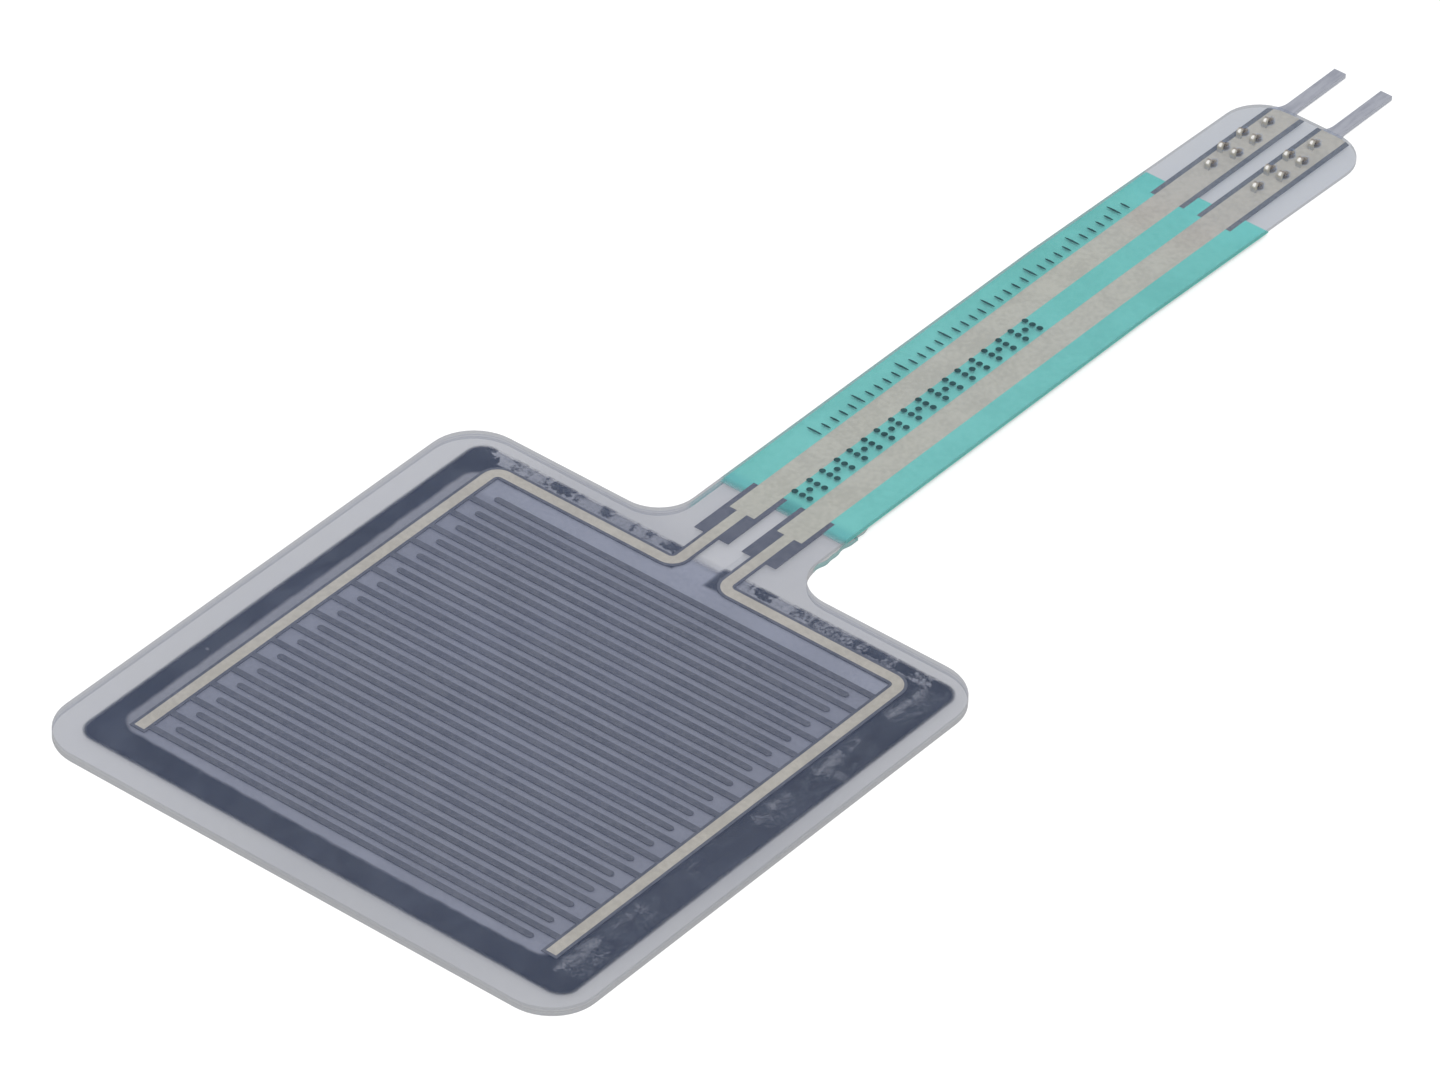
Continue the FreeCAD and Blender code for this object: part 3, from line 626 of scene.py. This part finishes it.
# %% Helpers for edit mode
def only(piece):
    """Selects this object and no other, and makes it the active one."""
    bpy.ops.object.select_all(action="DESELECT")
    piece.select_set(True)
    bpy.context.view_layer.objects.active = piece


def pick(piece, kind, wanted):
    """In object mode: selects the faces, edges or vertices of a mesh that pass a test."""
    mesh = piece.data
    for group in (mesh.vertices, mesh.edges, mesh.polygons):
        group.foreach_set("select", [False] * len(group))
    chosen = getattr(mesh, kind)
    flags = [bool(wanted(part)) for part in chosen]
    chosen.foreach_set("select", flags)
    return sum(flags)


def edit(piece, mode, *steps):
    """Runs steps in edit mode, with vertices, edges or faces as what is selected."""
    only(piece)
    bpy.ops.object.mode_set(mode="EDIT")
    bpy.ops.mesh.select_mode(type=mode)
    for step in steps:
        step()
    bpy.ops.object.mode_set(mode="OBJECT")


def edge_ends(piece, edge):
    """The two ends of an edge, in millimetres."""
    return [piece.data.vertices[i].co / MM for i in edge.vertices]


# %% [markdown]
# ## The three clear sheets
#
# A clear sheet needs two finishes, one for its open faces and one for its frosted rim,
# and it must not touch the prints exactly: two faces in the same plane flicker, because
# the light can't tell which comes first. So each sheet starts as a merged copy of its
# solid. Flat areas are dissolved into single faces, a film's rim gets the small rounding
# that a die leaves, and the whole skin is drawn in by a few micrometres.

# %% Copy a solid as a clean sheet
SAME_POINT = 0.0002
FLAT_ANGLE = math.radians(1.0)


def merged_copy(node, name):
    """A copy of a construction solid with shared points and whole flat faces."""
    piece = nodes[node].copy()
    piece.data = nodes[node].data.copy()
    piece.name = piece.data.name = name
    piece.parent = None
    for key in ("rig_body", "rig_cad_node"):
        if key in piece:
            del piece[key]
    bpy.context.scene.collection.objects.link(piece)
    only(piece)
    bpy.ops.mesh.customdata_custom_splitnormals_clear()
    edit(piece, "VERT",
         lambda: bpy.ops.mesh.select_all(action="SELECT"),
         lambda: bpy.ops.mesh.remove_doubles(threshold=SAME_POINT * MM),
         lambda: bpy.ops.mesh.dissolve_limited(angle_limit=FLAT_ANGLE))
    return piece


# %% Where a sheet's outline runs
SLACK = 0.05
NEAR_OUTLINE = 0.7


def lean(along):
    """How far the upper film's tail has moved to the right here, in millimetres."""
    return FILM_LEAN * min(1.0, max(0.0, (along - LEAN_FROM) / (film_high.y - LEAN_FROM)))


def from_outline(at, far_end):
    """Roughly how far a point lies inside the outline of head and tail, in millimetres."""
    if at.y > HEAD_EDGE + SLACK:
        return min(TAIL_EDGE - abs(at.x - lean(at.y)), far_end - at.y)
    below_neck = abs(at.x) < TAIL_EDGE and at.y > 0
    return HEAD_EDGE - (abs(at.x) if below_neck else max(abs(at.x), abs(at.y)))


# %% Rims, skin and finishes
SKIN_GAP = 0.003
RIM_ROUND = 0.018
SAME_HEIGHT = 0.001
SMOOTH_ANGLE = math.radians(35)
# Past this the neck's round corners have ended and the tail's sides run straight.
NECK_REACH = 2.2


def round_rim(piece, low, high):
    """Rounds the upper and lower edge of a sheet's outer rim."""
    def on_rim(edge):
        ends = edge_ends(piece, edge)
        level = abs(ends[0].z - ends[1].z) < SAME_HEIGHT
        at_face = min(abs(ends[0].z - low.z), abs(ends[0].z - high.z)) < SAME_HEIGHT
        return level and at_face and all(from_outline(end, high.y) < NEAR_OUTLINE for end in ends)

    found = pick(piece, "edges", on_rim)
    edit(piece, "EDGE", lambda: bpy.ops.mesh.bevel(offset=RIM_ROUND * MM, segments=2, affect="EDGES"))
    return found


def draw_in(piece):
    """Moves the whole skin inwards by the gap that keeps faces from sharing a plane."""
    edit(piece, "VERT", lambda: bpy.ops.mesh.select_all(action="SELECT"),
         lambda: bpy.ops.transform.shrink_fatten(value=-SKIN_GAP * MM))


def two_finishes(piece, far_end, face_look, edge_look):
    """Upright faces on the outline get the edge look, and all others the face look.

    The walls of slots in the tail stand across it, and they keep the face look too.
    """
    piece.data.materials.clear()
    piece.data.materials.append(face_look)
    piece.data.materials.append(edge_look)
    for face in piece.data.polygons:
        at = face.center / MM
        outer = from_outline(at, far_end) < NEAR_OUTLINE
        upright = abs(face.normal.z) < 0.7
        across_tail = abs(face.normal.y) > 0.9 and HEAD_EDGE + NECK_REACH < at.y < far_end - 0.1
        face.material_index = 1 if upright and outer and not across_tail else 0
    only(piece)
    bpy.ops.object.shade_smooth_by_angle(angle=SMOOTH_ANGLE)


def settle(piece, slot, *replaced):
    """Says what a finished piece rides on and hides the solids it stands for; the slot is not used."""
    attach(piece, "root")
    if replaced:
        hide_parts(*replaced)
    print(f"{piece.name}: {len(piece.data.polygons)} faces")


# %% [markdown]
# ## Ink that spread
#
# The ink has a soft rim, and in the photograph it runs out further to the right and to the
# front than to the other two sides. Its look stands on a merged copy of the solid, and the
# points of each side are moved out.

# %% The ink's own copy
ink_print = merged_copy("resistive_ink", "ink_print")
for vertex in ink_print.data.vertices:
    vertex.co.x += (INK_OUT_MORE if vertex.co.x > 0 else -INK_OUT) * MM
    vertex.co.y -= (INK_OUT_MORE if vertex.co.y < 0 else -INK_OUT) * MM
ink_print.data.materials.clear()
ink_print.data.materials.append(ink_look)
settle(ink_print, "resistive_ink", "resistive_ink")

# %% [markdown]
# ## A stub cut by hand
#
# The lower film and the adhesive run on a little way under the tail, and their right edge
# wanders there, as if trimmed with a blade. That side of the sheet is divided by upright
# cuts, and its points are pushed sideways by a sum of two sines, which gives a wave with
# no beat that the eye could count.

# %% Ragged stub
STUB_FROM = HEAD_EDGE + 1.2
STUB_STEP = 0.15
STUB_WAVE, STUB_OUT = 0.045, 0.03
CUT_THRESHOLD = 1e-7


def wander(along):
    """How far the stub's edge lies outside its straight line, in millimetres."""
    swell = min(1.0, along - STUB_FROM)
    wave = math.sin(along * 3.1) + 0.6 * math.sin(along * 7.3 + 1.0)
    return (STUB_WAVE * wave + STUB_OUT) * swell


def ragged_stub(piece, far_end):
    """Divides the right side of a sheet's stub and makes it wander."""
    def right_side(face):
        at = face.center / MM
        return face.normal.x > 0.9 and at.x > TAIL_EDGE - SLACK and at.y > STUB_FROM

    for number in range(1, int((far_end - STUB_FROM) / STUB_STEP)):
        cut = (0, (STUB_FROM + number * STUB_STEP) * MM, 0)
        pick(piece, "polygons", right_side)
        edit(piece, "FACE",
             lambda: bpy.ops.mesh.bisect(plane_co=cut, plane_no=(0, 1, 0), threshold=CUT_THRESHOLD))
    for vertex in piece.data.vertices:
        at = vertex.co / MM
        if at.x > TAIL_EDGE - SLACK and at.y > STUB_FROM:
            vertex.co.x += wander(at.y) * MM


# %% Build the sheets
SHEETS = (
    ("upper_film", "upper_film_sheet", upper_face, upper_edge, "film"),
    ("spacer_adhesive", "adhesive_frame", adhesive_face, adhesive_edge, "adhesive"),
    ("lower_film", "lower_film_sheet", lower_face, lower_edge, "film"),
)
for node, name, face_look, edge_look, slot in SHEETS:
    low, high = span(node)
    sheet = merged_copy(node, name)
    if node != "upper_film":
        ragged_stub(sheet, high.y)
    if node != "spacer_adhesive":
        print("rim edges rounded:", round_rim(sheet, low, high))
    draw_in(sheet)
    two_finishes(sheet, high.y, face_look, edge_look)
    settle(sheet, slot, node)

# %% [markdown]
# ## Plain marks on the tail
#
# The real tail carries two lines of dark print. Here their places hold plain marks with
# no meaning: a row of fine ticks in the left lane, and groups of round dots in the middle
# lane. One tick and one dot are modelled, as thin films of ink, and then copied.

# %% Marking ink
marking_look = printed_paste("marking ink", (0.020, 0.060, 0.068), (0.034, 0.095, 0.105), 7.0, 0.5)
MARK_THICKNESS = 0.004
MARK_BASE = FILM_TOP + 0.001


def ink_dab(name, width, length, corners):
    """A thin upright prism of ink, made at the origin."""
    bpy.ops.object.select_all(action="DESELECT")
    bpy.ops.mesh.primitive_cylinder_add(vertices=corners, radius=0.5 * MM, depth=MARK_THICKNESS * MM,
                                        location=(0, 0, MARK_THICKNESS / 2 * MM))
    dab = bpy.context.object
    dab.name = name
    edit(dab, "FACE", lambda: bpy.ops.mesh.select_all(action="SELECT"),
         lambda: bpy.ops.transform.resize(value=(width, length, 1), center_override=(0, 0, 0)))
    only(dab)
    bpy.ops.object.transform_apply(location=True, rotation=True, scale=True)
    return dab


def stamped(dab, places, name):
    """Copies a dab of ink to each place and joins the copies into one printed piece."""
    copies = []
    for x, y, length in places:
        copy = dab.copy()
        copy.data = dab.data.copy()
        bpy.context.scene.collection.objects.link(copy)
        for vertex in copy.data.vertices:
            vertex.co = Vector((vertex.co.x * length + x * MM, vertex.co.y + y * MM,
                                vertex.co.z + MARK_BASE * MM))
        copies.append(copy)
    bpy.data.objects.remove(dab)
    only(copies[0])
    for copy in copies:
        copy.select_set(True)
    bpy.ops.object.join()
    printed = bpy.context.object
    printed.name = printed.data.name = name
    printed.data.materials.clear()
    printed.data.materials.append(marking_look)
    settle(printed, "carbon_ink")


# %% Ticks in the left lane
# A tick is one millimetre long as made, and each copy is scaled to its own length.
TICK_FROM, TICK_TO, TICK_STEP = 22.9, 44.5, 0.6
TICK_RIGHT, TICK_WIDTH, TICK_CORNERS = -1.93, 0.12, 8
LONG_TICK, SHORT_TICK, LONG_EVERY = 0.85, 0.55, 5
ticks = []
for number in range(int((TICK_TO - TICK_FROM) / TICK_STEP) + 1):
    reach = LONG_TICK if number % LONG_EVERY == 0 else SHORT_TICK
    ticks.append((TICK_RIGHT - reach / 2, TICK_FROM + number * TICK_STEP, reach))
stamped(ink_dab("tick", 1.0, TICK_WIDTH, TICK_CORNERS), ticks, "tick_marks")

# %% Dots in the middle lane
DOT_FROM, DOT_GROUPS, GROUP_PITCH, DOT_PITCH = 19.1, 9, 1.86, 0.5
DOT_WIDTH, DOT_CORNERS = 0.30, 14
THREE_ABREAST, ONE = (-0.38, 0.02, 0.42), (0.02,)
dots = []
for group in range(DOT_GROUPS):
    for row, across in enumerate((THREE_ABREAST, ONE, THREE_ABREAST)):
        dots += [(x, DOT_FROM + group * GROUP_PITCH + row * DOT_PITCH, 1.0) for x in across]
stamped(ink_dab("dot", DOT_WIDTH, DOT_WIDTH, DOT_CORNERS), dots, "dot_marks")

# %% [markdown]
# ## Floor, light and camera
#
# The photograph's ground is pure white, while the ground seen through the clear film is
# a mid grey. Both come from one floor: a plain grey that is lit as usual, plus a small
# lift of its own that only rays straight from the camera see. The soft shadow stays.
#
# Real film scatters light sideways under the prints, so their shadows on the ground beneath
# are faint. Thin clear faces don't do that. Where the camera sees the floor through them,
# part of its brightness is therefore its own and even.
#
# Light on its way to the floor and back to the eye crosses up to twelve faces of clear
# sheet, more than a scene allows by default, so that limit is raised.

# %% Floor
bpy.context.scene.cycles.transparent_max_bounces = 24
FLOOR_SIZE = 6.0
FLOOR_GREY = 0.66
FLOOR_LIFT = 0.46
FLOOR_DROP = 0.02
EVEN_SHARE = 0.6
EVEN_LEVEL = 0.75

bpy.ops.object.select_all(action="DESELECT")
bpy.ops.mesh.primitive_plane_add(size=FLOOR_SIZE, location=(0, 0, -FLOOR_DROP * MM))
floor = bpy.context.object
floor.name = "floor"
floor_look = bpy.data.materials.new("pale floor")
floor_look.use_nodes = True
tree = floor_look.node_tree
tree.nodes.remove(tree.nodes["Principled BSDF"])
start = Wire(tree, None)
seen = start.make("LightPath", {}, {}, output="Is Camera Ray")
depth = start.make("LightPath", {}, {}, output="Transparent Depth")
bare = depth.maths("LESS_THAN", depth, 0.5)
lit = start.make("BsdfDiffuse", {}, {"Color": (FLOOR_GREY, FLOOR_GREY, FLOOR_GREY, 1)})
own = start.make("Emission", {}, {"Strength": seen * bare * FLOOR_LIFT})
ground = start.make("AddShader", {}, {0: lit, 1: own})
even = start.make("Emission", {}, {"Strength": FLOOR_GREY * EVEN_LEVEL})
veiled = start.make("MixShader", {}, {"Fac": seen * (1 - bare) * EVEN_SHARE, 1: ground, 2: even})
tree.links.new(veiled.socket, tree.nodes["Material Output"].inputs["Surface"])
floor.data.materials.append(floor_look)

# %% [markdown]
# A white surface facing up should come out just white: the sky gives a little more than
# half of that, and one wide sun gives the rest. It stands behind the camera, so the short
# shadows of the prints fall behind them, as in the photograph.

# %% Sky and sun
SKY = 0.55
SUN_TILT = math.radians(36)
SUN_TURN = math.radians(42)
SUN_WIDTH = math.radians(30)
SUN_SHARE = 1.0 - SKY

world = bpy.data.worlds.new("plain sky")
bpy.context.scene.world = world
world.use_nodes = True
tree = world.node_tree
start = Wire(tree, None)
for_eye = start.make("LightPath", {}, {}, output="Is Camera Ray")
for_gloss = start.make("LightPath", {}, {}, output="Is Glossy Ray")
for_glass = start.make("LightPath", {}, {}, output="Is Transmission Ray")
bright = for_eye.most(for_gloss).most(for_glass) * (1.0 - SKY) + SKY
tree.links.new(bright.socket, tree.nodes["Background"].inputs["Strength"])
tree.nodes["Background"].inputs["Color"].default_value = (1, 1, 1, 1)

sun = bpy.data.objects.new("window light", bpy.data.lights.new("window light", "SUN"))
sun.data.energy = SUN_SHARE * math.pi / math.cos(SUN_TILT)
sun.data.angle = SUN_WIDTH
sun.rotation_euler = (SUN_TILT, 0, SUN_TURN)
bpy.context.scene.collection.objects.link(sun)

# %% [markdown]
# The camera was worked out from the head's straight edges and the tail's sides in the
# photograph: far away, with a long lens, and turned a little about its own axis.

# %% Camera
EYE = Vector((0.221533, -0.277039, 0.286263))
AIM = Vector((-0.001011, 0.014878, 0.0))
ROLL = math.radians(2.41)
LENS, SENSOR_WIDTH = 278.09, 36.0

camera = bpy.data.objects.new("camera", bpy.data.cameras.new("camera"))
camera.data.sensor_width = SENSOR_WIDTH
camera.data.lens = LENS
camera.data.clip_start = 0.01
camera.location = EYE
turned = (AIM - EYE).to_track_quat("-Z", "Y").to_matrix().to_4x4()
camera.rotation_euler = (turned @ turned.Rotation(ROLL, 4, "Z")).to_euler()
bpy.context.scene.collection.objects.link(camera)
bpy.context.scene.camera = camera
bpy.context.scene.view_settings.view_transform = "Standard"
